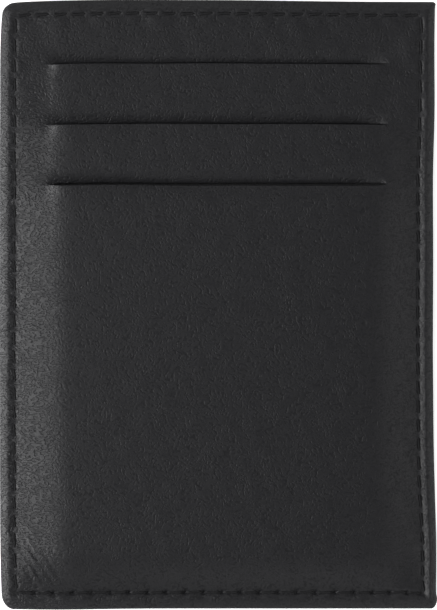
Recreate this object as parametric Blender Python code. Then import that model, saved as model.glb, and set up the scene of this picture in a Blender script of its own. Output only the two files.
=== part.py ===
"""A vertical card holder in soft leather, lying on its back.

Two turned-edge leather panels are sewn together along both sides and the bottom. Between them is a
compartment, lined in fabric and open at the top. The front panel has three slits, one above the
other, and a fabric pocket made of two leaves hangs behind each slit.

X is the width, Y runs up towards the slits, and Z is the thickness, from the back face at zero up
to the front. The origin is under the middle of the back face.
"""

import math

import bmesh
import bpy

MM = 0.001

# Outline
WIDTH = 75.0 * MM
HEIGHT = 105.0 * MM
CORNER_RADIUS = 1.5 * MM
LEFT, RIGHT = -WIDTH / 2, WIDTH / 2
BOTTOM, TOP = -HEIGHT / 2, HEIGHT / 2

# Sheet thicknesses, and the clear gaps between one sheet and the next
LEATHER = 0.8 * MM
SKIVED_TURNING = 0.5 * MM
FABRIC = 0.15 * MM
LEAF = 0.12 * MM
LAYER_GAP = 0.2 * MM
SEAM_GAP = 0.3 * MM
COMPARTMENT_GAP = 0.5 * MM
CARD_GAP = 0.45 * MM

# The sewn border
BORDER_THICKNESS = 3.6 * MM
EDGE_ROUNDING = 0.45 * MM
SEAM_BACK = (BORDER_THICKNESS - SEAM_GAP) / 2
SEAM_FRONT = SEAM_BACK + SEAM_GAP
STITCH_INSET = 2.6 * MM
THREAD_RADIUS = 0.2 * MM
GROOVE_HALF_FLOOR = 0.35 * MM
GROOVE_HALF_MOUTH = 0.6 * MM
GROOVE_DEPTH = 0.65 * MM
JOINED = STITCH_INSET + GROOVE_HALF_MOUTH
TURNING_WIDTH = 6.4 * MM
TOLERANCE = 0.01 * MM

# Levels of the compartment, from the back up
TURNING_BACK = LEATHER + 0.4 * MM
BACK_LINING = TURNING_BACK + LAYER_GAP
FRONT_LINING = BACK_LINING + FABRIC + COMPARTMENT_GAP
TURNING_FRONT = FRONT_LINING + FABRIC + LAYER_GAP
LINING_INSET = 4.2 * MM
LINING_TOP_INSET = 1.2 * MM

# Slits and card pockets. A bank card is 54 mm wide and goes in upright.
SLITS = 3
SLIT_LENGTH = 59.2 * MM
SLIT_WIDTH = 0.5 * MM
FIRST_SLIT_BELOW_TOP = 11.0 * MM
SLIT_PITCH = 10.4 * MM
POCKET_WIDTH = 60.2 * MM
POCKET_CORNER = 4.0 * MM
LAST_POCKET_FLOOR = 10.0 * MM
POCKET_FLOOR_PITCH = 3.0 * MM
LEAF_ABOVE_SLIT = 3.5 * MM
LEAF_BELOW_LIP = 0.6 * MM
SEAM_INSET = 0.6 * MM
SEAM_WIDTH = 0.8 * MM
SEAM_THREAD = 0.15 * MM

# Shape of the front panel over the pockets
SHOULDER_END = (WIDTH - POCKET_WIDTH) / 2
SHOULDER_FULLNESS = 2.2
FOOT_END = LAST_POCKET_FLOOR - 0.2 * MM
MOUTH_LENGTH = 3.0 * MM
RAMP_LENGTH = 6.0 * MM
RAMP_ABOVE_SLIT = 5.0 * MM

# Extra grid lines of the panels, as insets: on the border's crest, and up the cushion round it
CREST_LINE = 1.2 * MM
SIDE_LINES = (4.0 * MM, 5.2 * MM)
HEAD_LINE = 4.2 * MM
FOOT_LINES = (4.2 * MM, 5.2 * MM, TURNING_WIDTH, 8.0 * MM)
BACK_LINES = (4.0 * MM, TURNING_WIDTH - 0.3 * MM, TURNING_WIDTH)
BESIDE_SLIT = 2.0 * MM

BLACK_LEATHER = (0.022, 0.022, 0.024, 1.0)
BLACK_FABRIC = (0.015, 0.015, 0.016, 1.0)
BLACK_THREAD = (0.010, 0.010, 0.011, 1.0)


def clear_scene():
    for obj in list(bpy.data.objects):
        bpy.data.objects.remove(obj)


def material(name, colour, roughness):
    made = bpy.data.materials.new(name)
    made.use_nodes = True
    shader = made.node_tree.nodes["Principled BSDF"]
    shader.inputs["Base Color"].default_value = colour
    shader.inputs["Roughness"].default_value = roughness
    shader.inputs["Metallic"].default_value = 0.0
    return made


def add_object(name, data, colour, roughness):
    data.materials.append(material(name, colour, roughness))
    obj = bpy.data.objects.new(name, data)
    bpy.context.scene.collection.objects.link(obj)
    return obj


def smooth(value):
    """0 below 0, 1 above 1, and an even curve between them."""
    value = min(max(value, 0.0), 1.0)
    return value * value * (3 - 2 * value)


def slit_y(number):
    return TOP - FIRST_SLIT_BELOW_TOP - number * SLIT_PITCH


def pocket_floor(number):
    return BOTTOM + LAST_POCKET_FLOOR + (SLITS - 1 - number) * POCKET_FLOOR_PITCH


def rear_leaf_z(number):
    """The lower face of a pocket's rear leaf. The first pocket is the deepest."""
    pocket_pitch = 2 * LEAF + CARD_GAP + LAYER_GAP
    return TURNING_FRONT + number * pocket_pitch


def front_leaf_z(number):
    return rear_leaf_z(number) + LEAF + CARD_GAP


def strip_level(number):
    """The top face of the leather strip below this many slits."""
    if number < SLITS:
        highest_leaf = rear_leaf_z(number)
    else:
        highest_leaf = front_leaf_z(SLITS - 1)
    return highest_leaf + LEAF + LAYER_GAP + LEATHER


def side_inset(x):
    return WIDTH / 2 - abs(x)


def edge_inset(x, y):
    return min(side_inset(x), HEIGHT / 2 - abs(y))


def joined_inset(x, y):
    """The distance in from the sides and the bottom, where the two panels are sewn together."""
    return min(side_inset(x), y - BOTTOM)


def panel_level(x, y):
    """The level of the front over the pockets: a step at each slit, and a ramp beyond its ends."""
    opened = smooth((SLIT_LENGTH / 2 - abs(x)) / MOUTH_LENGTH)
    level = strip_level(0)
    for number in range(SLITS):
        step = strip_level(number + 1) - strip_level(number)
        ramp = smooth((slit_y(number) + RAMP_ABOVE_SLIT - y) / RAMP_LENGTH)
        below = 1.0 if y < slit_y(number) else 0.0
        level += step * (opened * below + (1 - opened) * ramp)
    return level


def shoulder(inset, end):
    """0 at the stitch groove, rising like a cushion to 1 at the edge of the pockets."""
    along = min(max((inset - JOINED) / (end - JOINED), 0.0), 1.0)
    return 1 - (1 - along) ** SHOULDER_FULLNESS


def edge_drop(inset):
    """How far a panel's outer face falls away at its rounded edge and in its stitch groove."""
    if inset < EDGE_ROUNDING:
        return EDGE_ROUNDING * (1 - math.sqrt(1 - (1 - inset / EDGE_ROUNDING) ** 2))
    if abs(inset - STITCH_INSET) < GROOVE_HALF_FLOOR + TOLERANCE:
        return GROOVE_DEPTH
    return 0.0


def front_outer(x, y):
    inset = edge_inset(x, y)
    if inset < JOINED:
        return BORDER_THICKNESS - edge_drop(inset)
    full = shoulder(side_inset(x), SHOULDER_END) * shoulder(y - BOTTOM, FOOT_END)
    full *= shoulder(TOP - y, SHOULDER_END)
    return BORDER_THICKNESS + (panel_level(x, y) - BORDER_THICKNESS) * full


def front_inner(x, y):
    if joined_inset(x, y) < JOINED + TOLERANCE:
        return SEAM_FRONT
    if edge_inset(x, y) < TURNING_WIDTH:
        return max(TURNING_FRONT, front_outer(x, y) - LEATHER - SKIVED_TURNING)
    return front_outer(x, y) - LEATHER


def back_outer(x, y):
    return edge_drop(edge_inset(x, y))


def back_inner(x, y):
    if joined_inset(x, y) < JOINED + TOLERANCE:
        return SEAM_BACK
    if edge_inset(x, y) < TURNING_WIDTH:
        return TURNING_BACK
    return LEATHER


def rounded(x, y):
    """Moves a point of the rectangular grid onto the rounded corner of its ring."""
    inset = edge_inset(x, y)
    radius = CORNER_RADIUS - inset
    from_side = side_inset(x)
    from_corner = max(from_side, HEIGHT / 2 - abs(y)) - inset
    if radius <= 0 or from_corner >= radius:
        return x, y
    angle = math.pi / 4 * (1 - from_corner / radius)
    across, along = math.cos(angle), math.sin(angle)
    if from_side > inset:
        across, along = along, across
    corner_x = WIDTH / 2 - CORNER_RADIUS + radius * across
    corner_y = HEIGHT / 2 - CORNER_RADIUS + radius * along
    return math.copysign(corner_x, x), math.copysign(corner_y, y)


def border_insets():
    """Grid lines across the sewn border, in from the edge."""
    groove = (GROOVE_HALF_MOUTH, GROOVE_HALF_FLOOR)
    outer = [STITCH_INSET - half for half in groove]
    inner = [STITCH_INSET + half for half in reversed(groove)]
    return [0.0, EDGE_ROUNDING * 0.3, EDGE_ROUNDING, CREST_LINE] + outer + inner


def mirrored(insets, low, high):
    return [low + inset for inset in insets] + [high - inset for inset in reversed(insets)]


def front_columns():
    mouth = (WIDTH - SLIT_LENGTH) / 2
    turned = [*SIDE_LINES, TURNING_WIDTH, SHOULDER_END]
    slit_end = [mouth, mouth + MOUTH_LENGTH / 2, mouth + MOUTH_LENGTH]
    columns = mirrored(border_insets() + turned + slit_end, LEFT, RIGHT)
    return sorted(columns + [0.0])


def front_rows():
    foot = [*FOOT_LINES, FOOT_END]
    head = [HEAD_LINE, TURNING_WIDTH, SHOULDER_END]
    rows = [BOTTOM + inset for inset in border_insets() + foot]
    rows += [TOP - inset for inset in border_insets() + head]
    for number in range(SLITS):
        middle = slit_y(number)
        rows += [middle - SLIT_WIDTH / 2, middle + SLIT_WIDTH / 2]
        rows += [middle + BESIDE_SLIT, middle + RAMP_ABOVE_SLIT] if number else []
    rows += [slit_y(SLITS - 1) - BESIDE_SLIT, 0.0]
    return sorted(rows)


def back_columns():
    return mirrored(border_insets() + list(BACK_LINES), LEFT, RIGHT)


def back_rows():
    return mirrored(border_insets() + list(BACK_LINES), BOTTOM, TOP)


def in_slit(x, y):
    """Whether the middle of a grid cell lies in the opening of a slit."""
    if abs(x) > SLIT_LENGTH / 2:
        return False
    return any(abs(y - slit_y(number)) < SLIT_WIDTH / 2 for number in range(SLITS))


def grid_faces(columns, rows, is_open):
    """Corner indices of the grid's cells, leaving out the open ones."""
    faces = []
    for j in range(len(rows) - 1):
        for i in range(len(columns) - 1):
            middle_x = (columns[i] + columns[i + 1]) / 2
            middle_y = (rows[j] + rows[j + 1]) / 2
            if is_open(middle_x, middle_y):
                continue
            first = j * len(columns) + i
            above = first + len(columns)
            faces.append((first, first + 1, above + 1, above))
    return faces


def leather_panel(name, columns, rows, upper, lower, is_open):
    """A closed sheet between two faces, walled round its edge and round its openings."""
    bm = bmesh.new()
    places = [(x, y) for y in rows for x in columns]
    sheets = []
    for height in (upper, lower):
        points = [bm.verts.new((*rounded(x, y), height(x, y))) for x, y in places]
        sheets.append(points)
    faces = grid_faces(columns, rows, is_open)
    for corners in faces:
        bm.faces.new([sheets[0][k] for k in corners])
        bm.faces.new([sheets[1][k] for k in reversed(corners)])
    for start, end in rim_edges(faces):
        top, bottom = sheets
        bm.faces.new((top[end], top[start], bottom[start], bottom[end]))
    bmesh.ops.delete(bm, geom=[v for v in bm.verts if not v.link_faces], context="VERTS")
    mesh = bpy.data.meshes.new(name)
    bm.to_mesh(mesh)
    bm.free()
    mesh.shade_smooth()
    mesh.set_sharp_from_angle(angle=math.radians(35))
    return add_object(name, mesh, BLACK_LEATHER, 0.5)


def rim_edges(faces):
    """The edges that only one cell has, each in its cell's direction."""
    edges = set()
    for corners in faces:
        for start, end in zip(corners, corners[1:] + corners[:1]):
            if (end, start) in edges:
                edges.remove((end, start))
            else:
                edges.add((start, end))
    return sorted(edges)


def arc(centre_x, centre_y, radius, start_degrees, steps):
    points = []
    for step in range(steps + 1):
        angle = math.radians(start_degrees + 90 * step / steps)
        points.append((centre_x + radius * math.cos(angle), centre_y + radius * math.sin(angle)))
    return points


def rounded_outline(left, right, bottom, top, radius, steps=4):
    """A rectangle with round corners, anticlockwise from its right side."""
    points = arc(right - radius, top - radius, radius, 0, steps)
    points += arc(left + radius, top - radius, radius, 90, steps)
    points += arc(left + radius, bottom + radius, radius, 180, steps)
    points += arc(right - radius, bottom + radius, radius, 270, steps)
    return points


def pocket_outline(left, right, bottom, top, radius):
    """A rectangle with its two lower corners round."""
    points = [(right, top), (left, top)]
    points += arc(left + radius, bottom + radius, radius, 180, 4)
    points += arc(right - radius, bottom + radius, radius, 270, 4)
    return points


def flat_piece(name, outline, low, thickness, colour, roughness):
    """An outline extruded straight up from the level low."""
    bm = bmesh.new()
    face = bm.faces.new([bm.verts.new((x, y, low)) for x, y in outline])
    raised = bmesh.ops.extrude_face_region(bm, geom=[face])["geom"]
    corners = [v for v in raised if isinstance(v, bmesh.types.BMVert)]
    bmesh.ops.translate(bm, verts=corners, vec=(0, 0, thickness))
    bmesh.ops.recalc_face_normals(bm, faces=bm.faces)
    mesh = bpy.data.meshes.new(name)
    bm.to_mesh(mesh)
    bm.free()
    return add_object(name, mesh, colour, roughness)


def lining(name, low):
    outline = rounded_outline(
        LEFT + LINING_INSET,
        RIGHT - LINING_INSET,
        BOTTOM + LINING_INSET,
        TOP - LINING_TOP_INSET,
        1.0 * MM,
    )
    return flat_piece(name, outline, low, FABRIC, BLACK_FABRIC, 0.85)


def pocket_leaf(name, number, top, low):
    half = POCKET_WIDTH / 2
    outline = pocket_outline(-half, half, pocket_floor(number), top, POCKET_CORNER)
    return flat_piece(name, outline, low, LEAF, BLACK_FABRIC, 0.85)


def pocket_seam(name, number):
    """The U of thread that closes a pocket's sides and floor, between its two leaves."""
    half = POCKET_WIDTH / 2 - SEAM_INSET
    floor = pocket_floor(number) + SEAM_INSET
    top = slit_y(number) - LEAF_BELOW_LIP - SEAM_INSET
    radius = POCKET_CORNER - SEAM_INSET
    outer = pocket_outline(-half, half, floor, top, radius)
    inner_half = half - SEAM_WIDTH
    inner_radius = radius - SEAM_WIDTH
    inner = pocket_outline(-inner_half, inner_half, floor + SEAM_WIDTH, top, inner_radius)
    outline = outer[1:] + outer[:1] + inner[:1] + inner[:0:-1]
    low = rear_leaf_z(number) + LEAF + (CARD_GAP - SEAM_THREAD) / 2
    return flat_piece(name, outline, low, SEAM_THREAD, BLACK_THREAD, 0.7)


def pocket(number):
    label = f"pocket_{number + 1}"
    slit = slit_y(number)
    pocket_leaf(f"{label}_rear_leaf", number, slit + LEAF_ABOVE_SLIT, rear_leaf_z(number))
    pocket_seam(f"{label}_seam_thread", number)
    pocket_leaf(f"{label}_front_leaf", number, slit - LEAF_BELOW_LIP, front_leaf_z(number))


def edge_thread(name, height):
    """The line of sewing round a panel, as one closed loop of thread."""
    outline = rounded_outline(
        LEFT + STITCH_INSET,
        RIGHT - STITCH_INSET,
        BOTTOM + STITCH_INSET,
        TOP - STITCH_INSET,
        THREAD_RADIUS * 1.5,
    )
    curve = bpy.data.curves.new(name, "CURVE")
    curve.dimensions = "3D"
    curve.bevel_depth = THREAD_RADIUS
    curve.bevel_resolution = 1
    spline = curve.splines.new("POLY")
    spline.points.add(len(outline) - 1)
    for point, (x, y) in zip(spline.points, outline):
        point.co = (x, y, height, 1.0)
    spline.use_cyclic_u = True
    return add_object(name, curve, BLACK_THREAD, 0.7)


def build():
    clear_scene()
    leather_panel("back_panel", back_columns(), back_rows(), back_inner, back_outer, lambda x, y: False)
    lining("back_lining", BACK_LINING)
    lining("front_lining", FRONT_LINING)
    for number in range(SLITS):
        pocket(number)
    leather_panel("front_panel", front_columns(), front_rows(), front_outer, front_inner, in_slit)
    thread_clearance = (GROOVE_DEPTH - 2 * THREAD_RADIUS) / 2
    edge_thread("back_edge_thread", thread_clearance + THREAD_RADIUS)
    edge_thread("front_edge_thread", BORDER_THICKNESS - thread_clearance - THREAD_RADIUS)


build()
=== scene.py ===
"""The looks of a vertical card holder in soft black leather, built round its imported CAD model.

Lengths in this script are in millimetres, in the CAD model's frame: X is the width, Y runs up
towards the card slits, and Z is the thickness, from the back face at zero. finish_mesh turns each
piece into metres. The leather panels are grids whose border lines wrap round the turned edges.
Where a value differs from side to side, its tuple runs left, right, bottom, top, or left, right.
"""

import math

import bpy
import numpy as np
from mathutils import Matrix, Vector


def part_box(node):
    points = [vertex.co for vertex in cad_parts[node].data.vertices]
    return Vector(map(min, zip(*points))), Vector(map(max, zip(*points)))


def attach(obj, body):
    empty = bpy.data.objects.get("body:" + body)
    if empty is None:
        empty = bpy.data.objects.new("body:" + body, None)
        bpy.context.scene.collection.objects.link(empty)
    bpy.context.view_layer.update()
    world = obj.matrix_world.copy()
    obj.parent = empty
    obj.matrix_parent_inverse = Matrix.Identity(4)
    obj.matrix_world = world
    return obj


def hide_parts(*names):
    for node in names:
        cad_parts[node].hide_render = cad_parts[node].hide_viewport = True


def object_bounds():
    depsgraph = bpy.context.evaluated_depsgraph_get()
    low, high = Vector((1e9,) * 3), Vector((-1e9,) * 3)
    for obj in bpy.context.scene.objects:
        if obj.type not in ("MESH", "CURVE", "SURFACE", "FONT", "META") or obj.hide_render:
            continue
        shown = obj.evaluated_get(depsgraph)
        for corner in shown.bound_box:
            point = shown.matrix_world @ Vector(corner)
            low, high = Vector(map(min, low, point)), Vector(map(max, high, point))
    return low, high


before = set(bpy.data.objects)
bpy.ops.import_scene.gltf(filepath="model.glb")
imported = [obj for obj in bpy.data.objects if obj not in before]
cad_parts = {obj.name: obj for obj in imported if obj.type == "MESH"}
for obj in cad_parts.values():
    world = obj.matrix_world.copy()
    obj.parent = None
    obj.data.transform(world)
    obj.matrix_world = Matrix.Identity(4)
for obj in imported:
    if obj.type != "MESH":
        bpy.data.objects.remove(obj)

CAD_LOW, CAD_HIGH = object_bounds()
MM = 0.001

# ---------------------------------------------------------------- sizes

WIDTH = (CAD_HIGH.x - CAD_LOW.x) / MM
HEIGHT = (CAD_HIGH.y - CAD_LOW.y) / MM
HALF_WIDTH, HALF_HEIGHT = WIDTH / 2, HEIGHT / 2

# The turned edge: the panels meet at SEAM_LEVEL, and each is EDGE_THICKNESS thick with its turning
SEAM_LEVEL = 1.85
SEAM_CLEARANCE = 0.04
EDGE_THICKNESS = 1.7
LEATHER = 0.75
TURN_UNDER = 0.9
TURN_OVER = 1.5
EDGE_FACET = 1.5
TURNING_END = 7.6
CORNER_BLEND = 8.0
LOWER_CORNERS = (2.2, 1.0)
UPPER_CORNERS = (1.9, 0.5)

# The sewn border inside the edge: from its crest it sinks towards the stitches
SIDE_BLEND = 0.8
LUMPS_AT_EDGE, LUMPS_INSIDE = 0.03, 0.01
CREST_ENDS = (1.7, 1.1, 1.7, 2.0)
BORDER_SINKS = (0.01, 0.32, 0.22, 0.05)
TOP_FALL = 0.30
INSIDE_SINK = 0.25

# Sewing
STITCH_INSET = 2.6
STITCHES_ACROSS = 22
STITCHES_ALONG = 31
STITCH_LINES = (0.0, 0.09, 0.17, 0.25, 0.42, 0.58, 0.75, 0.83, 0.91)
STITCH_LENGTH = 3.2
CHANNEL_DEPTHS = (0.20, 0.28, 0.14, 0.26)
HOLE_DEPTHS = (0.04, 0.10, 0.58, 0.06)
CHANNEL_WIDTH, HOLE_WIDTH, HOLE_LENGTH = 0.24, 0.25, 0.34
PUCKER = 0.05
DRIFT_AT_MIDDLE = (0.28, 1.45, 0.85, 0.30)
DRIFT_SLOPES = (-0.022, -0.009, 0.013, 0.011)
DRIFT_WIDTH = 1.6
DRIFT_FADE = 13.0
THREAD_RADIUS = 0.19
THREAD_PLIES = 3
THREAD_TWIST = 1.1
THREAD_POINTS = 28
HOLE_SINK, THREAD_RISE = 0.70, 0.58

# The middle compartment's mouth
MOUTH_GAPE = 0.28
BACK_GAPE = 0.25
GAPE_LENGTH = 9.0

# The cushion over the pockets: a steep part by the seam, then a long gentle tail
CUSHION_START = 2.9
CUSHION_RISE = 2.58
STEEP_END, STEEP_FADE = 5.4, 7.3
TAIL_SLOPE, TAIL_LENGTH = 0.16, 7.5
FOOT_STEEPNESS = 1.30
HEAD_RISE = 4.5
STRIP_SHARES = (0.04, 0.19, 0.64, 1.0)
RAMP_ABOVE, RAMP_LENGTH = 1.8, 4.2
GENTLE_HEIGHT, FINE_HEIGHT = 0.006, 0.0007
BACK_HOLLOW = 0.02

# Slits, from the top one down. Their heights come from the CAD model's pocket leaves
SLITS = 3
LEAF_BELOW_LIP = 0.6
SLIT_HALF = 29.6
SLIT_GAPS = (0.14, 0.19, 0.42)
LEAST_GAP = 0.05
SLIT_MOUTHS = (2.8, 1.6)
LIP_CLOSINGS = (3.0, 1.8)
LIP_REACH = 0.8
DIP_LENGTH, DIP_FADE = 3.3, 6.0
DIP_DEPTHS = (0.64, 0.62, 0.80)
LIP_ROUNDING = 0.30
LIP_DROOPS = (0.0, 0.05, 0.60)
DROOP_LENGTH, DROOP_START = 3.2, 20.0
LIP_SWELL = 0.66
SWELL_RISE, SWELL_FALL, SWELL_DEPTH = 2.3, 16.0, 2.6
LEFT_PINCH = 0.06
PINCH_LENGTH, PINCH_WIDTH = 0.42, 0.32
RIGHT_PINCHES = (0.08, 0.12, 0.30)
SLIT_BOW, SLIT_SAG = 0.14, 0.07
LEFT_SAG = 0.16

# Drag lines in the lower left corner, measured from it across and along the lines
WRINKLE_HEIGHT = 0.40
WRINKLE_PITCH = 1.45
WRINKLE_WAY = (0.825, 0.566)
WRINKLE_PLACE = (9.4, -2.0)
WRINKLE_SIZE = (2.0, 3.6)

# How far the hand-made outline and seams stand out of true
WANDER = 0.03
RIGHT_HEAD, RIGHT_HOLLOW, RIGHT_FOOT = 0.08, 0.20, 0.34
UPPER_PLEAT, LOWER_PLEAT = 0.09, 0.20
SEAM_HEAD, SEAM_FOOT = 0.40, 0.30
UPPER_TAPER, LOWER_TAPER = 0.70, 0.40
TOP_LEFT_FALL, TOP_RIGHT_FALL = 0.60, 0.32
FOOT_RISE, FOOT_BELLY = 0.05, 0.20
LOWER_SEAM_LIFT, UPPER_SEAM_LIFT = 0.34, 0.25

# Linings and pocket leaves, placed by shares of the way from the back to the front
LINING, LEAF = 0.15, 0.12
LINING_SPACING, LEAF_SPACING = 1.4, 1.6
LINING_SHARES = (("back_lining", 0.10), ("front_lining", 0.24))
TOP_LEAF_SHARE, LEAF_STEP = 0.90, 0.115
LEAF_CROWDING = 3.0
POCKET_SEAM_INSET = 0.4
POCKET_SEAM_WIDTH = 0.3
POCKET_THREAD_RADIUS = 0.08
POCKET_SEAM_POINTS = 90

SHARP_DEGREES = 50

# Leather's look. Each grain is its creases per metre along X, Y and Z, and the noise they end at
LEATHER_DARK, LEATHER_LIGHT = 0.0060, 0.0103
LEATHER_ROUGH = (0.45, 0.51)
LEATHER_IOR = 1.37
LEATHER_GLOSS = (0.28, 0.60)
GRAIN_DEPTH = 0.035
GRAIN_FLAT = ((2500.0, 2300.0, 2400.0), 0.34, 0.50)
GRAIN_BENT = ((1800.0, 2850.0, 2200.0), 0.41, 0.54)
GRAIN_DRIFT = 0.0009
BENT_GRAIN_DEPTH = 2.8
GRAIN_DRIFT_CELLS = 260.0
GRAIN_WAVINESS = 0.1
SPECKLE_CELLS, PATCH_CELLS = 4200.0, 750.0
# Where the leather curves over the slopes. The same mask paints light into the leather's colour and gloss
# there, most on the left slope, which the left lamps light.
SLOPE_INNER, SLOPE_OUTER = 23.0, 31.0
RIGHT_BEND_AND_LIGHT = 0.4
SLITS_FROM, SLITS_TO, SLITS_BEND_AND_LIGHT = 26.0, 44.0, 0.4
FOOT_FROM, FOOT_TO, FOOT_BEND_AND_LIGHT = -49.0, -43.0, 0.6
SPECKLE_DEPTH = 0.25
# Leather tone: the middle and speckle terms are its own tone. The crease term paints shade into the
# creases, and the slope term paints light onto the slopes, in colour and gloss.
SHADE_MIDDLE, SHADE_SPECKLE, PAINTED_CREASE_SHADE, PAINTED_SLOPE_LIGHT = 0.30, 0.30, 0.30, 0.33
COOLNESS = 1.15

# Lining and thread: patterns per metre, their depth, and their darkest and lightest colours
WEAVE_LINES, WEAVE_DEPTH = 1100.0, 0.05
FABRIC_COLOURS = ((0.006, 0.006, 0.007), (0.020, 0.020, 0.022))
FIBRE_CELLS, FIBRE_DEPTH = 9000.0, 0.03
THREAD_COLOURS = ((0.005, 0.005, 0.0055), (0.011, 0.011, 0.012))

# Studio: each softbox's name, place in metres, size in metres and power in watts
LIGHTS = (
    ("left_softbox", (-0.62, -0.03, 0.55), (0.5, 0.9), 7.2),
    ("low_left_softbox", (-0.85, -0.04, 0.20), (0.5, 0.9), 9.6),
    ("far_softbox", (0.0, 0.75, 0.56), (0.9, 0.5), 2.05),
    ("near_softbox", (0.0, -0.8, 0.5), (0.9, 0.5), 2.0),
    ("right_softbox", (0.82, 0.04, 0.47), (0.5, 0.9), 3.2),
    ("near_right_softbox", (0.48, -0.56, 0.42), (0.4, 0.4), 0.85),
)
SURROUNDINGS = 0.069
FLOOR_HALF = 1500.0
FLOOR_TONE = 0.86
FLOOR_GLOW = 0.6

# Camera: straight above, with lens and sensor as on a real one
LENS, SENSOR = 200.0, 36.0
VIEW_HEIGHT = 105.41
VIEW_MIDDLE = (0.26, -0.17)


def box_mm(node):
    low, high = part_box(node)
    return np.array(low) / MM, np.array(high) / MM


SLIT_Y = [box_mm(f"pocket_{n + 1}_front_leaf")[1][1] + LEAF_BELOW_LIP for n in range(SLITS)]


# ---------------------------------------------------------------- small helpers

def smooth(value):
    """0 below 0, 1 above 1, and an even curve between them."""
    value = np.clip(value, 0.0, 1.0)
    return value * value * (3 - 2 * value)


def bump(distance, width):
    return np.exp(-0.5 * (distance / width) ** 2)


def unevenness(seed, waves, shortest, longest, stretch=(1.0, 1.0)):
    """A smooth random surface of about unit height: a function of x and y."""
    draw = np.random.default_rng(seed)
    lengths = draw.uniform(shortest, longest, waves)
    angles = draw.uniform(0, 2 * math.pi, waves)
    phases = draw.uniform(0, 2 * math.pi, waves)
    along_x = 2 * math.pi / lengths * np.cos(angles) / stretch[0]
    along_y = 2 * math.pi / lengths * np.sin(angles) / stretch[1]

    def surface(x, y):
        total = np.zeros(np.broadcast(x, y).shape)
        for kx, ky, phase in zip(along_x, along_y, phases):
            total = total + np.cos(kx * x + ky * y + phase)
        return total * math.sqrt(2 / waves)

    return surface


def insets(x, y):
    """Distances in from the left, right, bottom and top edges."""
    return HALF_WIDTH + x, HALF_WIDTH - x, HALF_HEIGHT + y, HALF_HEIGHT - y


def by_side(x, y, values):
    """Blends the values for the left, right, bottom and top borders by how near each one is."""
    edges = np.stack(insets(x, y))
    nearness = np.exp(-(edges - edges.min(axis=0)) / SIDE_BLEND)
    shares = nearness / nearness.sum(axis=0)
    return sum(value * share for value, share in zip(values, shares))


# ---------------------------------------------------------------- grids

def edge_lines(stitches, length):
    """Grid lines from a turned edge to the middle, as insets. Below TURN_OVER they are steps round
    the edge, and below zero they are on its underside."""
    under = [-TURNING_END, -6.2, -4.6, -3.2, -2.0]
    roll = list(np.linspace(-TURN_OVER, TURN_OVER, 15))
    crest = [1.68, 1.88, 2.08, 2.26, 2.43]
    pitch = (length - 2 * STITCH_INSET) / stitches
    places = np.add.outer(np.arange(stitches), STITCH_LINES).ravel()
    inside = STITCH_INSET + pitch * places[places <= stitches / 2]
    return np.array(under + roll + crest + list(inside))


def both_sides(lines, length):
    """The lines of one edge and of the opposite one, as (side, inset) pairs in order."""
    low = [(-1.0, q) for q in lines]
    high = [(1.0, q) for q in lines[::-1] if q < length / 2 - 0.05]
    return low + high


def with_rows(lines, length, extra):
    """Adds rows at the given heights, and drops plain rows that are too near them."""
    too_near = 0.09
    past_edge = 20
    kept = []
    for side, q in lines:
        y = side * (length / 2 - q)
        if q < STITCH_INSET + 1.0 or all(abs(y - e) > too_near for e in extra):
            kept.append((y if q > TURN_OVER else side * (length / 2 + past_edge - q), side, q))
    for y in extra:
        side = 1.0 if y > 0 else -1.0
        kept.append((y, side, length / 2 - abs(y)))
    return [(side, q) for _, side, q in sorted(kept)]


def roll_inset(q):
    """How far a line round the turned edge lies in from the outline."""
    turn = np.clip(np.abs(q) / TURN_OVER, 0, 1) * math.pi / 2
    over = TURN_OVER * (1 - np.clip(np.cos(turn), 0, 1) ** EDGE_FACET)
    under = TURN_UNDER * (1 - np.cos(turn)) + np.maximum(-q - TURN_OVER, 0)
    return np.where(q >= TURN_OVER, q, np.where(q >= 0, over, under))


def roll_height(q):
    """0 on the underside of the turned edge, 1 on its crest."""
    turn = np.clip(q / TURN_OVER, -1, 1) * math.pi / 2
    over = 0.5 + 0.5 * np.clip(np.sin(turn), 0, 1) ** EDGE_FACET
    return np.where(q > 0, over, 0.5 + 0.5 * np.sin(turn))


def corner_radius(side_x, side_y):
    """Each corner was folded by hand, so no two are alike."""
    lower = np.where(side_x < 0, *LOWER_CORNERS)
    upper = np.where(side_x < 0, *UPPER_CORNERS)
    return np.where(side_y < 0, lower, upper)


def ring_grid(columns, rows):
    """Places every grid point in plan, with rounded corners. Also gives each point's ring inset."""
    side_x, inset_x = np.array(columns).T
    side_y, inset_y = np.array(rows).T
    side_x, side_y = np.meshgrid(side_x, side_y)
    inset_x, inset_y = np.meshgrid(inset_x, inset_y)
    ring = np.minimum(inset_x, inset_y)
    other = np.maximum(inset_x, inset_y)
    inset = roll_inset(ring)
    share = (other - ring) / np.maximum(CORNER_BLEND - ring, 1e-6)
    along = np.where(other < CORNER_BLEND, inset + (CORNER_BLEND - inset) * share, other)
    radius = np.maximum(corner_radius(side_x, side_y) - inset, 0.02)
    from_corner = along - inset
    turn = math.pi / 4 * (1 - np.clip(from_corner / radius, 0, 1))
    rounded = from_corner < radius
    near = np.where(rounded, inset + radius * (1 - np.cos(turn)), inset)
    far = np.where(rounded, inset + radius * (1 - np.sin(turn)), along)
    on_side = inset_x <= inset_y
    x = side_x * (HALF_WIDTH - np.where(on_side, near, far))
    y = side_y * (HALF_HEIGHT - np.where(on_side, far, near))
    return x, y, ring


# ---------------------------------------------------------------- the cushion and the slits

GENTLE = unevenness(3, 14, 14.0, 40.0)
LUMPS = unevenness(5, 16, 4.0, 9.0)
UPRIGHT = unevenness(11, 26, 1.5, 3.2, (1.0, 9.0))
EDGE_WANDER = unevenness(17, 8, 9.0, 26.0)


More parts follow.
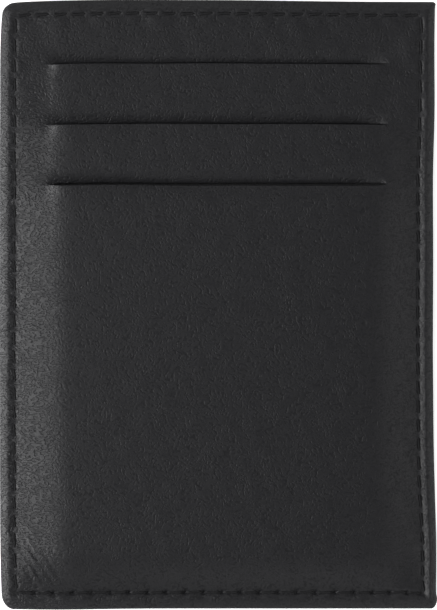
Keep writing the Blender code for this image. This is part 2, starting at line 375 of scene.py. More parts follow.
def cushion_profile():
    """The rise of a leather cushion from its seam inwards, found by adding up its slope."""
    d = np.linspace(0, 40, 801)
    steep = smooth((d - CUSHION_START + 0.3) / 0.9) * (1 - smooth((d - STEEP_END) / STEEP_FADE))
    tail = smooth((d - 6) / 4) * np.exp(-(np.maximum(d - 10, 0) / TAIL_LENGTH))
    height = np.cumsum(steep + TAIL_SLOPE * tail)
    return d, height / height[-1]


PROFILE_D, PROFILE_H = cushion_profile()


def cushion(inset, steepness=1.0):
    """0 at the seam, 1 in the middle. steepness above 1 makes the rise shorter."""
    inside = CUSHION_START + (inset - CUSHION_START) * steepness
    return np.interp(inside, PROFILE_D, PROFILE_H)


def opened(x, ends=SLIT_MOUTHS):
    """1 where a slit stands open, 0 at its ends and beyond them."""
    left, right = ends
    return smooth((SLIT_HALF + x) / left) * smooth((SLIT_HALF - x) / right)


def beyond_end(x):
    return np.clip(np.abs(x) - SLIT_HALF, 0, None)


def strip_share(x, y):
    """How high the leather stands over the pockets: a step at each slit, a ramp beyond its ends."""
    share = STRIP_SHARES[0] * np.ones(np.broadcast(x, y).shape)
    for number, slit in enumerate(SLIT_Y):
        step = STRIP_SHARES[number + 1] - STRIP_SHARES[number]
        beyond = beyond_end(x)
        ramp = smooth((slit + RAMP_ABOVE + 0.5 * beyond - y) / (RAMP_LENGTH + beyond))
        share = share + step * (opened(x) * (y < slit) + (1 - opened(x)) * ramp)
    return share


def dip(x, above, depth):
    """The leather's fall before a slit, weaker towards the slit's right end."""
    fading = smooth((SLIT_HALF + 0.5 - x) / DIP_FADE)
    return depth * fading * (1 - np.clip(above / DIP_LENGTH, 0, 1)) ** 2 * (above > 0)


def lip_fall(x, above, gap, droop):
    """The rounded edge of the lip below a slit, and its sag, which is there only on the right."""
    edge = np.clip((-above - gap / 2) / LIP_ROUNDING, 0, 1)
    rounding = LIP_ROUNDING * (1 - np.sqrt(1 - (1 - edge) ** 2))
    sag = np.clip(1 + above / DROOP_LENGTH, 0, 1) ** 2 * smooth((x + DROOP_START) / DROOP_START)
    return (rounding + droop * sag) * (above < 0)


def lip_swell(x, above):
    """The lip's swelling by the slit's left end."""
    from_end = x + SLIT_HALF
    along = smooth(from_end / SWELL_RISE) * (1 - smooth((from_end - SWELL_RISE) / SWELL_FALL))
    return LIP_SWELL * along * np.exp(np.minimum(above, 0) / SWELL_DEPTH) * (above < 0)


def pinch(x, above, right_height):
    """The leather pulled up in a small nub just over each end of a slit."""
    height = np.where(x < 0, LEFT_PINCH, right_height)
    along = bump(np.abs(x) - SLIT_HALF - 0.05, PINCH_LENGTH)
    return height * along * bump(above - PINCH_WIDTH, PINCH_WIDTH)


def slit_relief(x, y):
    """What the slits add to the cushion's height."""
    relief = np.zeros(np.broadcast(x, y).shape)
    for number, slit in enumerate(SLIT_Y):
        above = y - slit
        fall = dip(x, above, DIP_DEPTHS[number])
        fall = fall + lip_fall(x, above, SLIT_GAPS[number], LIP_DROOPS[number])
        relief = relief - opened(x) * fall
        relief = relief + pinch(x, above, RIGHT_PINCHES[number]) + lip_swell(x, above)
    return relief


def corner_wrinkles(x, y):
    """Drag lines that run down to the lower left corner."""
    from_left, _, from_bottom, _ = insets(x, y)
    across = WRINKLE_WAY[0] * from_left + WRINKLE_WAY[1] * from_bottom
    along = WRINKLE_WAY[1] * from_left - WRINKLE_WAY[0] * from_bottom
    place = bump(across - WRINKLE_PLACE[0], WRINKLE_SIZE[0])
    place = place * bump(along - WRINKLE_PLACE[1], WRINKLE_SIZE[1])
    waviness = 0.15 * np.sin(along / 1.3)
    folds = np.cos(math.pi * (across - WRINKLE_PLACE[0] + WRINKLE_PITCH + waviness) / WRINKLE_PITCH)
    return WRINKLE_HEIGHT * place * (np.sqrt(folds ** 2 + 0.02) - 0.6)


# ---------------------------------------------------------------- the border and the panels' levels

def along_seam(x, y):
    """The position along the nearest edge, counted in stitches."""
    from_left, from_right, from_bottom, from_top = insets(x, y)
    on_side = np.minimum(from_left, from_right) <= np.minimum(from_bottom, from_top)
    along_y = (from_bottom - STITCH_INSET) / (HEIGHT - 2 * STITCH_INSET) * STITCHES_ALONG
    along_x = (from_left - STITCH_INSET) / (WIDTH - 2 * STITCH_INSET) * STITCHES_ACROSS
    return np.where(on_side, along_y, along_x)


def seam_relief(x, y, q):
    """The channel that the stitches press, their needle holes, and the puckers beside them."""
    count = along_seam(x, y)
    from_hole = np.abs(count - np.round(count)) * STITCH_LENGTH
    off = q - STITCH_INSET
    sunk = smooth((from_hole - 0.35) / 0.45)
    channel = by_side(x, y, CHANNEL_DEPTHS) * sunk * bump(off, CHANNEL_WIDTH)
    holes = by_side(x, y, HOLE_DEPTHS) * bump(from_hole, HOLE_LENGTH) * bump(off, HOLE_WIDTH)
    beside = bump(off - 0.75, 0.35) + bump(off + 0.6, 0.3)
    return -channel - holes - PUCKER * np.cos(2 * math.pi * count) * beside


def gape(x, y):
    """How far the front stands off at the mouth of the middle compartment."""
    across = np.clip(1 - (np.abs(x) / (HALF_WIDTH - 4)) ** 2, 0, 1)
    return MOUTH_GAPE * across * np.exp(-(HALF_HEIGHT - y) / GAPE_LENGTH)


def back_gape(x, y):
    """The back gives way less than the front, because it lies on the table."""
    return BACK_GAPE * gape(x, y)


def border_level(x, y, q):
    """The outer leather of the sewn border, from its crest to the stitches. On the right the crest
    is a narrow ridge, which flattens towards the top, and at the top it slopes outwards."""
    down = (HALF_HEIGHT - y) / HEIGHT
    left_sink, right_sink, bottom_sink, top_sink = BORDER_SINKS
    ridge = right_sink * smooth((down - 0.04) / 0.41)
    depth = by_side(x, y, (left_sink, ridge, bottom_sink, top_sink))
    start = by_side(x, y, CREST_ENDS)
    lumps = LUMPS_AT_EDGE + (LUMPS_INSIDE - LUMPS_AT_EDGE) * smooth((q - 3.0) / 5.0)
    outward_fall = by_side(x, y, (0, 0, 0, TOP_FALL)) * (1 - smooth((q - 1.1) / 0.95))
    crest = SEAM_LEVEL + EDGE_THICKNESS + lumps * LUMPS(x, y) - outward_fall
    sunk = depth * smooth((q - start) / (2.55 - start))
    return crest - sunk - (INSIDE_SINK - depth) * smooth((q - 3.2) / 6.0)


def front_level(x, y, q):
    """The front panel's outer face, as a height over the back face of the holder."""
    full = cushion(HALF_WIDTH - np.abs(x)) * cushion(y + HALF_HEIGHT, FOOT_STEEPNESS)
    full = full * smooth((HALF_HEIGHT - y - STITCH_INSET) / HEAD_RISE)
    rise = CUSHION_RISE * strip_share(x, y) + GENTLE_HEIGHT * GENTLE(x, y)
    inside = smooth((q - CUSHION_START) / 3.0)
    fine = FINE_HEIGHT * inside * (UPRIGHT(x, y) + LUMPS(y, x))
    level = border_level(x, y, q) + rise * full + fine
    return level + slit_relief(x, y) * full ** 0.25 + corner_wrinkles(x, y) + seam_relief(x, y, q)


def back_level(x, y, q):
    """The back panel's outer face, measured outwards, down from the seam."""
    full = smooth((q - STITCH_INSET) / 4.0)
    depth = border_level(-x, y, q) - SEAM_LEVEL
    flat = SEAM_LEVEL - BACK_HOLLOW
    return depth + (flat - depth) * full + seam_relief(x, y, q) * (1 - full)


# ---------------------------------------------------------------- shifts in plan

def stitch_drift(x, y):
    """The shift of each stitch along its row. The rows' stitches aren't quite evenly spaced, but
    they meet at the corners."""
    edges = insets(x, y)
    left, right, bottom, top = (
        (middle + slope * place) * bump(inset - STITCH_INSET, DRIFT_WIDTH)
        for middle, slope, place, inset in zip(DRIFT_AT_MIDDLE, DRIFT_SLOPES, (y, y, x, x), edges)
    )
    from_left, from_right, from_bottom, from_top = (smooth(inset / DRIFT_FADE) for inset in edges)
    return (bottom - top) * from_left * from_right, (left - right) * from_top * from_bottom


def lips(x, y):
    """How far the two lips of each slit move together, towards its ends."""
    shut = (1 - opened(x, LIP_CLOSINGS)) * np.exp(-beyond_end(x))
    moved = np.zeros(np.broadcast(x, y).shape)
    for slit, gap in zip(SLIT_Y, SLIT_GAPS):
        above = y - slit
        past_lip = np.clip(np.abs(above) - gap / 2, 0, None)
        near = smooth(np.abs(above) * 2 / gap) * np.exp(-past_lip / LIP_REACH)
        moved = moved - (gap - LEAST_GAP) / 2 * shut * near * np.sign(above)
    return moved


def sideways(x, y):
    """Shifts along X: a right side that is hollow in its middle and flares at its foot, a tiny pleat
    at each right corner, a right seam that bends outwards at both ends, and tapered left corners."""
    from_left, from_right, from_bottom, from_top = insets(x, y)
    down = from_top / HEIGHT
    hollow = smooth((down - 0.10) / 0.25) * (1 - smooth((down - 0.66) / 0.14))
    outline = RIGHT_HEAD * (1 - smooth(down / 0.3)) - RIGHT_HOLLOW * hollow
    outline = outline + RIGHT_FOOT * smooth((down - 0.70) / 0.24)
    outline = outline * smooth((x + 10) / (HALF_WIDTH + 10)) ** 2
    pleats = UPPER_PLEAT * bump(from_top - 0.4, 0.35) + LOWER_PLEAT * bump(from_bottom - 1.5, 0.45)
    pleats = pleats * np.exp(-from_right / 0.8)
    seam = SEAM_HEAD * np.exp(-down / 0.10) + SEAM_FOOT * smooth((down - 0.75) / 0.2)
    seam = seam * smooth(from_right / 2.2) * (1 - smooth((from_right - 2.6) / 9.0))
    taper = UPPER_TAPER * np.exp(-from_top / 4.0) + LOWER_TAPER * np.exp(-from_bottom / 6.0)
    return outline + pleats + seam + taper * np.exp(-from_left / 6) + WANDER * EDGE_WANDER(x, y)


def upwards(x, y):
    """Shifts along Y: a top edge that falls at both ends, a foot with a slight belly, seams that lie
    a little high, and slits that bow, sag at the left and ripple."""
    from_left, _, from_bottom, from_top = insets(x, y)
    top_fall = TOP_LEFT_FALL * np.exp(-from_left / 5.0) + TOP_RIGHT_FALL * smooth((x + 14) / 44)
    belly = FOOT_RISE + FOOT_BELLY * bump(x + 28, 7)
    lift = LOWER_SEAM_LIFT * smooth(from_bottom / 2.2) * np.exp(-from_bottom / 6)
    lift = lift + UPPER_SEAM_LIFT * smooth(from_top / 2.2) * np.exp(-from_top / 6)
    bow = (SLIT_BOW * (1 - (x / SLIT_HALF) ** 2) - SLIT_SAG) * bump(y - SLIT_Y[0], 7)
    sag = LEFT_SAG * np.exp(-np.maximum(x + SLIT_HALF, 0) / 5)
    uneven_slits = (WANDER * EDGE_WANDER(y, x) - sag) * bump(y - SLIT_Y[1], 14)
    return lift + bow + uneven_slits - top_fall * np.exp(-from_top / 7) - belly * np.exp(-from_bottom / 3)


def settle(x, y):
    """Moves points in plan from their true places to where the hand-made holder has them."""
    across, along = stitch_drift(x, y)
    return x + sideways(x, y) + across, y + upwards(x, y) + lips(x, y) + along


# ---------------------------------------------------------------- meshes

def cell_normals(points, holes):
    """The normal at each grid point, from the cells round it that aren't in a hole."""
    across = points[:-1, 1:] - points[1:, :-1]
    up = points[1:, 1:] - points[:-1, :-1]
    cells = np.cross(across, up)
    for first_row, last_row, first, last in holes:
        cells[first_row:last_row, first:last] = 0
    total = np.zeros_like(points)
    total[:-1, :-1] += cells
    total[1:, :-1] += cells
    total[:-1, 1:] += cells
    total[1:, 1:] += cells
    size = np.linalg.norm(total, axis=2, keepdims=True)
    return total / np.maximum(size, 1e-12)


def loop_of(first_row, last_row, first, last):
    """Grid points round a block of cells, anticlockwise."""
    loop = [(first_row, i) for i in range(first, last)]
    loop += [(j, last) for j in range(first_row, last_row)]
    loop += [(last_row, i) for i in range(last, first, -1)]
    loop += [(j, first) for j in range(last_row, first_row, -1)]
    return loop


def cell_faces(index, is_hole):
    """Quads between neighbouring entries of a grid of point numbers."""
    quads = np.stack([index[:-1, :-1], index[:-1, 1:], index[1:, 1:], index[1:, :-1]], axis=2)
    return quads[~is_hole].tolist()


def hole_cells(rows, columns, holes):
    """Which cells between these grid rows and columns lie in a hole."""
    found = np.zeros((len(rows) - 1, len(columns) - 1), bool)
    for first_row, last_row, first, last in holes:
        in_rows = (rows[:-1] >= first_row) & (rows[1:] <= last_row)
        in_columns = (columns[:-1] >= first) & (columns[1:] <= last)
        found |= in_rows[:, None] & in_columns[None, :]
    return found


def closed_sheet(name, points, thickness, holes=(), step=1):
    """A closed sheet: a fine outer face, an inner face on every step-th line, and walls."""
    height, width = points.shape[:2]
    rows, columns = np.arange(height), np.arange(width)
    borders_j = {0, height - 1} | {j for h in holes for j in h[:2]}
    borders_i = {0, width - 1} | {i for h in holes for i in h[2:]}
    kept_rows = np.array(sorted(set(rows[::step]) | borders_j))
    kept_columns = np.array(sorted(set(columns[::step]) | borders_i))
    inner_points = points - thickness * cell_normals(points, holes)
    outer = np.arange(height * width).reshape(height, width)
    inner = np.full((height, width), -1)
    block = np.ix_(kept_rows, kept_columns)
    inner[block] = height * width + np.arange(len(kept_rows) * len(kept_columns)).reshape(
        len(kept_rows), len(kept_columns)
    )
    faces = cell_faces(outer, hole_cells(rows, columns, holes))
    under = cell_faces(inner[block], hole_cells(kept_rows, kept_columns, holes))
    faces += [quad[::-1] for quad in under]
    loops = [loop_of(0, height - 1, 0, width - 1)]
    loops += [loop_of(*hole)[::-1] for hole in holes]
    for loop in loops:
        faces += wall_faces(loop, outer, inner)
    vertices = np.concatenate([points.reshape(-1, 3), inner_points[block].reshape(-1, 3)])
    return finish_mesh(name, vertices, faces)


def wall_faces(loop, outer, inner):
    """Faces that join the outer face's rim to the coarser rim of the inner face."""
    start = next(k for k, place in enumerate(loop) if inner[place] >= 0)
    loop = loop[start:] + loop[: start + 1]
    faces, run = [], [loop[0]]
    for place in loop[1:]:
        run.append(place)
        if inner[place] >= 0:
            rim = [int(outer[p]) for p in reversed(run)]
            faces.append(rim + [int(inner[run[0]]), int(inner[run[-1]])])
            run = [place]
    return faces


def finish_mesh(name, vertices, faces, sharp_degrees=SHARP_DEGREES):
    """A smooth-shaded object in metres. Points that no face uses, as in a slit, are left out."""
    used = np.zeros(len(vertices), bool)
    used[[k for face in faces for k in face]] = True
    number = np.cumsum(used) - 1
    faces = [[int(number[k]) for k in face] for face in faces]
    mesh = bpy.data.meshes.new(name)
    mesh.from_pydata((vertices[used] * MM).tolist(), [], faces)
    mesh.validate()
    mesh.shade_smooth()
    mesh.set_sharp_from_angle(angle=math.radians(sharp_degrees))
    obj = bpy.data.objects.new(name, mesh)
    bpy.context.scene.collection.objects.link(obj)
    return obj


def thread_loop(name, path, radius, sides=9):
    """A closed loop of twisted thread along a path of points."""
    ahead = np.roll(path, -1, axis=0) - np.roll(path, 1, axis=0)
    ahead /= np.linalg.norm(ahead, axis=1, keepdims=True)
    side = np.cross(ahead, np.array((0, 0, 1)))
    side /= np.linalg.norm(side, axis=1, keepdims=True)
    up = np.cross(side, ahead)
    travelled = np.cumsum(np.linalg.norm(np.diff(path, axis=0, append=path[:1]), axis=1))
    turns = np.round(travelled[-1] / THREAD_TWIST) / travelled[-1]
    angle = np.arange(sides) * 2 * math.pi / sides
    twist = 2 * math.pi * turns * travelled[:, None] / THREAD_PLIES
    size = radius * (0.93 + 0.13 * np.cos(THREAD_PLIES * (angle[None, :] - twist)))
    ring = path[:, None, :] + size[:, :, None] * (
        np.cos(angle)[None, :, None] * side[:, None, :] + np.sin(angle)[None, :, None] * up[:, None, :]
    )
    index = np.arange(len(path) * sides).reshape(len(path), sides)
    after, around = np.roll(index, -1, axis=0), np.roll(index, -1, axis=1)
    both = np.roll(after, -1, axis=1)
    faces = np.stack([index, after, both, around], axis=2).reshape(-1, 4).tolist()
    return finish_mesh(name, ring.reshape(-1, 3), faces, 180)


# ---------------------------------------------------------------- leather panels

def front_extra_rows():
    """Rows for each slit: its two edges, the rounded lip below it and the dip above it."""
    rows = []
    for slit, gap in zip(SLIT_Y, SLIT_GAPS):
        lower, upper = slit - gap / 2, slit + gap / 2
        rows += [lower - s for s in (0.0, 0.02, 0.06, 0.12, 0.19, 0.27, 0.45)]
        rows += [upper + s for s in (0.0, 0.15, 0.4)]
    return sorted(rows)


def slit_holes(columns, rows):
    """The block of cells that each slit leaves open."""
    x = np.array([side * (HALF_WIDTH - q) for side, q in columns])
    y = np.array([side * (HALF_HEIGHT - q) for side, q in rows])
    holes = []
    for slit, gap in zip(SLIT_Y, SLIT_GAPS):
        first_row = int(np.argmin(np.abs(y - (slit - gap / 2))))
        last_row = int(np.argmin(np.abs(y - (slit + gap / 2))))
        first = int(np.argmin(np.abs(x + SLIT_HALF)))
        last = int(np.argmin(np.abs(x - SLIT_HALF)))
        holes.append((first_row, last_row, first, last))
    return holes


def panel_points(columns, rows, level, outward, lift):
    """A panel's outer face and turned edge. level and lift are measured outwards from the seam."""
    x, y, q = ring_grid(columns, rows)
    hem = SEAM_CLEARANCE + lift(x, y)
    crest = level(x, y, np.maximum(q, 0.9)) + lift(x, y)
    height = np.where(q < TURN_OVER, hem + (crest - hem) * roll_height(q), crest)
    moved_x, moved_y = settle(x, y)
    return np.stack([moved_x, moved_y, SEAM_LEVEL + outward * height], axis=2)


def front_over_seam(x, y, q):
    return front_level(x, y, q) - SEAM_LEVEL


def make_front_panel():
    columns = both_sides(edge_lines(STITCHES_ACROSS, WIDTH), WIDTH)
    rows = both_sides(edge_lines(STITCHES_ALONG, HEIGHT), HEIGHT)
    rows = with_rows(rows, HEIGHT, front_extra_rows())
    points = panel_points(columns, rows, front_over_seam, 1.0, gape)
    return closed_sheet("front_leather", points, LEATHER, slit_holes(columns, rows), 4)


def make_back_panel():
    columns = both_sides(edge_lines(STITCHES_ACROSS, WIDTH), WIDTH)
    rows = both_sides(edge_lines(STITCHES_ALONG, HEIGHT), HEIGHT)
    points = panel_points(columns, rows, back_level, -1.0, back_gape)
    return closed_sheet("back_leather", points[:, ::-1], LEATHER, (), 4)


# ---------------------------------------------------------------- linings and pockets

def layer(x, y, share):
    """A level between the two panels: 0 is against the back and 1 against the front."""
    q = np.maximum(np.minimum(HALF_WIDTH - np.abs(x), HALF_HEIGHT - np.abs(y)), STITCH_INSET)
    low = SEAM_LEVEL - back_level(x, y, q) - back_gape(x, y) + LEATHER
    high = front_level(x, y, q) + gape(x, y) - LEATHER
    return low + (high - low) * share


def leaf_starts():
    """The upper edges of the six leaves, from the deepest to the nearest the front."""
    names = [f"pocket_{n + 1}_{kind}_leaf" for n in range(SLITS) for kind in ("rear", "front")]
    return [box_mm(name)[1][1] for name in names]


def leaf_share(order, y):
    """Where a pocket leaf lies between the panels. It sinks as later leaves crowd in before it."""
    later = leaf_starts()[order + 1 :]
    in_front = sum(smooth((top + LEAF_CROWDING - y) / LEAF_CROWDING) for top in later)
    return TOP_LEAF_SHARE - LEAF_STEP * in_front


def sheet_points(low, high, spacing, share):
    """A grid over a rectangle, at a share of the way between the panels."""
    x = np.linspace(low[0], high[0], int((high[0] - low[0]) / spacing) + 1)
    y = np.linspace(low[1], high[1], int((high[1] - low[1]) / spacing) + 1)
    x, y = np.meshgrid(x, y)
    z = layer(x, y, share(y))
    moved_x, moved_y = settle(x, y)
    return np.stack([moved_x, moved_y, z], axis=2)


def make_leaf(order):
    kind = ("rear", "front")[order % 2]
    node = f"pocket_{order // 2 + 1}_{kind}_leaf"
    low, high = box_mm(node)
    points = sheet_points(low, high, LEAF_SPACING, lambda y: leaf_share(order, y))
    return closed_sheet(f"{node}_fabric", points, LEAF), node, (high - low)[:2]


def make_lining(node, share):
    low, high = box_mm(node)
    points = sheet_points(low, high, LINING_SPACING, lambda y: share + 0 * y)
    return closed_sheet(f"{node}_fabric", points, LINING), (high - low)[:2]


def make_pocket_seam(number):
    """The thread down a pocket's sides and across its floor, between its leaves, and back again."""
    node = f"pocket_{number + 1}_seam_thread"
    low, high = box_mm(node)
    left, right = low[0] + POCKET_SEAM_INSET, high[0] - POCKET_SEAM_INSET
    floor, top = low[1] + POCKET_SEAM_INSET, high[1]
    down = np.linspace(top, floor, POCKET_SEAM_POINTS)
    across = np.linspace(left, right, POCKET_SEAM_POINTS)[1:-1]
    x = np.concatenate([np.full(len(down), left), across, np.full(len(down), right)])
    y = np.concatenate([down, np.full(len(across), floor), down[::-1]])
    back_x = x[::-1] - np.sign(x[::-1]) * POCKET_SEAM_WIDTH
    x = np.concatenate([x, back_x])
    y = np.concatenate([y, y[::-1] + POCKET_SEAM_WIDTH])
    share = (leaf_share(2 * number, y) + leaf_share(2 * number + 1, y)) / 2
    moved_x, moved_y = settle(x, y)
    path = np.stack([moved_x, moved_y, layer(x, y, share)], axis=1)
    return thread_loop(f"pocket_{number + 1}_seam", path, POCKET_THREAD_RADIUS, sides=6), node


# ---------------------------------------------------------------- sewing

def stitch_points(start, end, count, side):
    """The thread over each stitch of one side and down into the hole after it. Each row gives a
    point's place in plan and its height over the leather. Every stitch slants a little."""
    length = math.dist(start, end)
    ahead = np.subtract(end, start) / length
    aside = np.array([-ahead[1], ahead[0]])
    pitch = length / count
    u = np.arange(THREAD_POINTS) / THREAD_POINTS
    from_hole = np.minimum(u, 1 - u) * pitch
    over = THREAD_RISE * smooth((from_hole - 0.15) / 0.55) - HOLE_SINK
    parts = []
    for stitch in range(count):
        tilt = 0.14 + 0.06 * math.sin(2.3 * stitch + side)
        shift = 0.05 * math.sin(5.1 * stitch + 2 * side)
        slant = tilt * (2 * u - 1) * smooth(from_hole / 0.4) + shift * smooth(from_hole / 0.5)
        flat = np.array(start) + np.outer((stitch + u) * pitch, ahead) + np.outer(slant, aside)
        parts.append(np.column_stack([flat, over]))
    return np.concatenate(parts)


def seam_path(level, outward, lift):
    """The thread's way round the border, over the leather and its channel."""
    left, right = -HALF_WIDTH + STITCH_INSET, HALF_WIDTH - STITCH_INSET
    bottom, top = -HALF_HEIGHT + STITCH_INSET, HALF_HEIGHT - STITCH_INSET
    corners = [(left, bottom), (right, bottom), (right, top), (left, top)]
    counts = (STITCHES_ACROSS, STITCHES_ALONG) * 2
    sides = [stitch_points(corners[k], corners[(k + 1) % 4], counts[k], k) for k in range(4)]
    x, y, over = np.concatenate(sides).T
    q = np.full(len(x), STITCH_INSET)
    height = level(x, y, q) - seam_relief(x, y, q) + lift(x, y) + over
    moved_x, moved_y = settle(x, y)
    return np.stack([moved_x, moved_y, SEAM_LEVEL + outward * height], axis=1)


def make_front_thread():
    return thread_loop("front_stitching", seam_path(front_over_seam, 1.0, gape), THREAD_RADIUS)


def make_back_thread():
    return thread_loop("back_stitching", seam_path(back_level, -1.0, back_gape), THREAD_RADIUS)


# ---------------------------------------------------------------- materials

class Nodes:
    """Short names for making and joining a material's nodes."""

    def __init__(self, name):
        self.material = bpy.data.materials.new(name)
        self.material.use_nodes = True
        self.tree = self.material.node_tree
        self.shader = self.tree.nodes["Principled BSDF"]
        self.place = self.add("ShaderNodeTexCoord").outputs["Object"]

    def add(self, kind, **settings):
        node = self.tree.nodes.new(kind)
        for key, value in settings.items():
            if hasattr(node, key):
                setattr(node, key, value)
            else:
                node.inputs[key.replace("_", " ")].default_value = value
        return node

    def join(self, source, target):
        self.tree.links.new(source, target)

    def texture(self, kind, place=None, **settings):
        """A texture over the object's own coordinates, or over the place given."""
        node = self.add(kind, **settings)
        self.join(place or self.place, node.inputs["Vector"])
        return node.outputs

    def math(self, operation, first, second):
        node = self.add("ShaderNodeMath", operation=operation)
        for socket, value in zip(node.inputs, (first, second)):
            if isinstance(value, (int, float)):
                socket.default_value = value
            else:
                self.join(value, socket)
        return node.outputs[0]

    def ramp(self, value, low, high, to_low, to_high):
        node = self.add("ShaderNodeMapRange", interpolation_type="SMOOTHSTEP")
        self.join(value, node.inputs["Value"])
        for key, number in zip(("From Min", "From Max", "To Min", "To Max"), (low, high, to_low, to_high)):
            node.inputs[key].default_value = number
        return node.outputs["Result"]

    def relief(self, height, strength, distance):
        """Bumps in the surface, up to distance high, in millimetres."""
        node = self.add("ShaderNodeBump", Strength=strength, Distance=distance * MM)
        self.join(height, node.inputs["Height"])
        self.join(node.outputs["Normal"], self.shader.inputs["Normal"])

    def colour(self, value, dark, light):
        node = self.add("ShaderNodeValToRGB")
        for element, tone in zip(node.color_ramp.elements, (dark, light)):
            element.color = (*tone, 1)
        self.join(value, node.inputs["Fac"])
        self.join(node.outputs["Color"], self.shader.inputs["Base Color"])

    def set(self, **values):
        for key, value in values.items():
            self.shader.inputs[key.replace("_", " ")].default_value = value


def slope_bend_and_light(n):
    """1 on the left slope, less on the right one, and 0 between them. Weaker by the slits and foot. It
    sets where the grain opens on the slopes, and also where the leather's colour and gloss are painted
    lighter: painted light, where the lamps catch the slopes.
    """
    axes = n.add("ShaderNodeSeparateXYZ")
    n.join(n.place, axes.inputs["Vector"])
    x, y = axes.outputs["X"], axes.outputs["Y"]
    left = n.ramp(x, -SLOPE_OUTER * MM, -SLOPE_INNER * MM, 1.0, 0.0)
    right = n.ramp(x, SLOPE_INNER * MM, SLOPE_OUTER * MM, 0.0, RIGHT_BEND_AND_LIGHT)
    below_slits = n.ramp(y, SLITS_FROM * MM, SLITS_TO * MM, 1.0, SLITS_BEND_AND_LIGHT)
    above_foot = n.ramp(y, FOOT_FROM * MM, FOOT_TO * MM, FOOT_BEND_AND_LIGHT, 1.0)
    return n.math("MULTIPLY", n.math("ADD", left, right), n.math("MULTIPLY", below_slits, above_foot))


def creases(n, cells, low, high):
    """Short folds: the low stretches of an uneven, slightly drifting noise."""
    drift = n.texture("ShaderNodeTexNoise", Scale=GRAIN_DRIFT_CELLS, Detail=0.0)["Color"]
    drifted = n.add("ShaderNodeMixRGB", blend_type="LINEAR_LIGHT")
    drifted.inputs["Fac"].default_value = GRAIN_DRIFT
    n.join(n.place, drifted.inputs["Color1"])
    n.join(drift, drifted.inputs["Color2"])
    stretched = n.add("ShaderNodeVectorMath", operation="MULTIPLY")
    stretched.inputs[1].default_value = cells
    n.join(drifted.outputs["Color"], stretched.inputs[0])
    place = stretched.outputs["Vector"]
    look = {"Scale": 1.0, "Detail": 0.0, "Distortion": GRAIN_WAVINESS}
    folds = n.texture("ShaderNodeTexNoise", place, **look)["Fac"]
    return n.ramp(folds, low, high, 1.0, 0.0)


def leather_material():
    """Fine grain: short, sparse creases where the leather lies flat, and close, wavy ones that run across
    the slopes down to the side seams. The creases are painted darker and duller than what is between them,
    as painted shade, and the slopes are painted lighter and glossier, as painted light."""
    n = Nodes("black_leather")
    bend_and_light = slope_bend_and_light(n)
    fine = n.texture("ShaderNodeTexNoise", Scale=SPECKLE_CELLS, Detail=3.0, Roughness=0.6)["Fac"]
    patch = n.texture("ShaderNodeTexNoise", Scale=PATCH_CELLS, Detail=3.0, Roughness=0.55)["Fac"]
    speckle = n.ramp(fine, 0.3, 0.7, 0.0, 1.0)
    sparse = n.ramp(patch, 0.40, 0.60, 0.35, 1.0)
    flat_part = n.math("MULTIPLY", creases(n, *GRAIN_FLAT), sparse)
    flat_part = n.math("MULTIPLY", flat_part, n.math("SUBTRACT", 1.0, bend_and_light))
    crease = n.math("ADD", flat_part, n.math("MULTIPLY", creases(n, *GRAIN_BENT), bend_and_light))
    depth = n.math("MULTIPLY", crease, n.ramp(bend_and_light, 0.0, 1.0, 1.0, BENT_GRAIN_DEPTH))
    n.relief(n.math("SUBTRACT", n.math("MULTIPLY", speckle, SPECKLE_DEPTH), depth), 1.0, GRAIN_DEPTH)
    shade = n.math("ADD", n.math("MULTIPLY", speckle, SHADE_SPECKLE), SHADE_MIDDLE)
    # Painted shade: the creases made darker and duller.
    shade = n.math("SUBTRACT", shade, n.math("MULTIPLY", crease, PAINTED_CREASE_SHADE))
    # Painted light: the slopes' colour and gloss made lighter, most on the left one, where the left lamps
    # catch it.
    shade = n.math("ADD", shade, n.math("MULTIPLY", bend_and_light, PAINTED_SLOPE_LIGHT))
    dark, light = ((tone, tone, tone * COOLNESS) for tone in (LEATHER_DARK, LEATHER_LIGHT))
    n.colour(shade, dark, light)
    n.join(n.ramp(shade, 0.0, 1.0, *LEATHER_GLOSS), n.shader.inputs["Specular IOR Level"])
    n.join(n.ramp(patch, 0.3, 0.7, *LEATHER_ROUGH), n.shader.inputs["Roughness"])
    n.set(IOR=LEATHER_IOR)
    return n.material


def fabric_material():
    """A fine plain weave."""
    n = Nodes("black_lining")
    look = {"wave_type": "BANDS", "Scale": WEAVE_LINES, "Distortion": 0.4}
    warp = n.texture("ShaderNodeTexWave", bands_direction="X", **look)
    weft = n.texture("ShaderNodeTexWave", bands_direction="Y", **look)
    weave = n.math("MULTIPLY", warp["Fac"], weft["Fac"])
    n.relief(weave, 0.8, WEAVE_DEPTH)
    n.colour(weave, *FABRIC_COLOURS)
    n.set(Roughness=0.8)
    return n.material


def thread_material():
    """Dull, fibrous thread."""
    n = Nodes("black_thread")
    fibres = n.texture("ShaderNodeTexNoise", Scale=FIBRE_CELLS, Detail=2.0)["Fac"]
    n.relief(fibres, 0.6, FIBRE_DEPTH)
    n.colour(fibres, *THREAD_COLOURS)
    n.set(Roughness=0.85, Specular_IOR_Level=0.2)
    return n.material


def floor_material():
    n = Nodes("pale_floor")
    n.set(Base_Color=(FLOOR_TONE, FLOOR_TONE, FLOOR_TONE, 1), Roughness=0.7)
    n.set(Emission_Color=(1, 1, 1, 1), Emission_Strength=FLOOR_GLOW)
    return n.material


# ---------------------------------------------------------------- stage

def make_floor():
    corners = FLOOR_HALF * np.array([(-1, -1, 0), (1, -1, 0), (1, 1, 0), (-1, 1, 0)])
    floor = finish_mesh("floor", corners, [[0, 1, 2, 3]])
    floor.data.materials.append(floor_material())


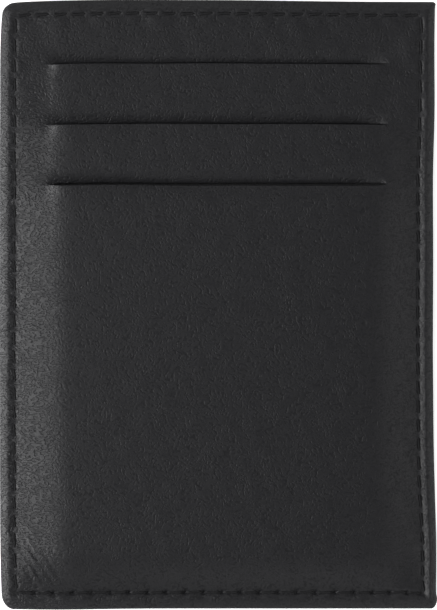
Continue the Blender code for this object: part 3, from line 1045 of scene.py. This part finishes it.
def soft_light(name, place, size, power):
    """A rectangular softbox that faces the middle of the object. place is in metres."""
    data = bpy.data.lights.new(name, "AREA")
    data.shape = "RECTANGLE"
    data.size, data.size_y = size
    data.energy = power
    light = bpy.data.objects.new(name, data)
    light.location = place
    light.rotation_mode = "QUATERNION"
    light.rotation_quaternion = Vector(place).to_track_quat("Z", "Y")
    light.visible_camera = False
    bpy.context.scene.collection.objects.link(light)


def make_lights():
    for light in LIGHTS:
        soft_light(*light)
    world = bpy.data.worlds.new("studio")
    world.use_nodes = True
    background = world.node_tree.nodes["Background"]
    background.inputs["Color"].default_value = (1, 1, 1, 1)
    background.inputs["Strength"].default_value = SURROUNDINGS
    bpy.context.scene.world = world
    bpy.context.scene.view_settings.view_transform = "Standard"


def make_camera():
    """Straight above, with the outline almost filling the frame."""
    data = bpy.data.cameras.new("camera")
    data.lens = LENS
    data.sensor_width = SENSOR
    data.clip_start, data.clip_end = 0.01, 10.0
    distance = VIEW_HEIGHT * LENS / SENSOR
    camera = bpy.data.objects.new("camera", data)
    camera.location = Vector((*VIEW_MIDDLE, distance + SEAM_LEVEL)) * MM
    bpy.context.scene.collection.objects.link(camera)
    bpy.context.scene.camera = camera


# ---------------------------------------------------------------- assembly

def dress(obj, material, slot, *nodes):
    """Gives a piece its material and its body, and hides the CAD nodes that it stands for."""
    obj.data.materials.append(material)
    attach(obj, "root")
    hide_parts(*nodes)


def build():
    leather, fabric, thread = leather_material(), fabric_material(), thread_material()
    front, back = make_front_panel(), make_back_panel()
    dress(front, leather, "leather", "front_panel")
    dress(back, leather, "leather", "back_panel")
    for node, share in LINING_SHARES:
        lining, size = make_lining(node, share)
        dress(lining, fabric, "lining", node)
    for order in range(2 * SLITS):
        leaf, node, size = make_leaf(order)
        dress(leaf, fabric, "lining", node)
    for number in range(SLITS):
        seam, node = make_pocket_seam(number)
        dress(seam, thread, "thread", node)
    dress(make_front_thread(), thread, "thread", "front_edge_thread")
    dress(make_back_thread(), thread, "thread", "back_edge_thread")


build()
make_floor()
make_lights()
make_camera()
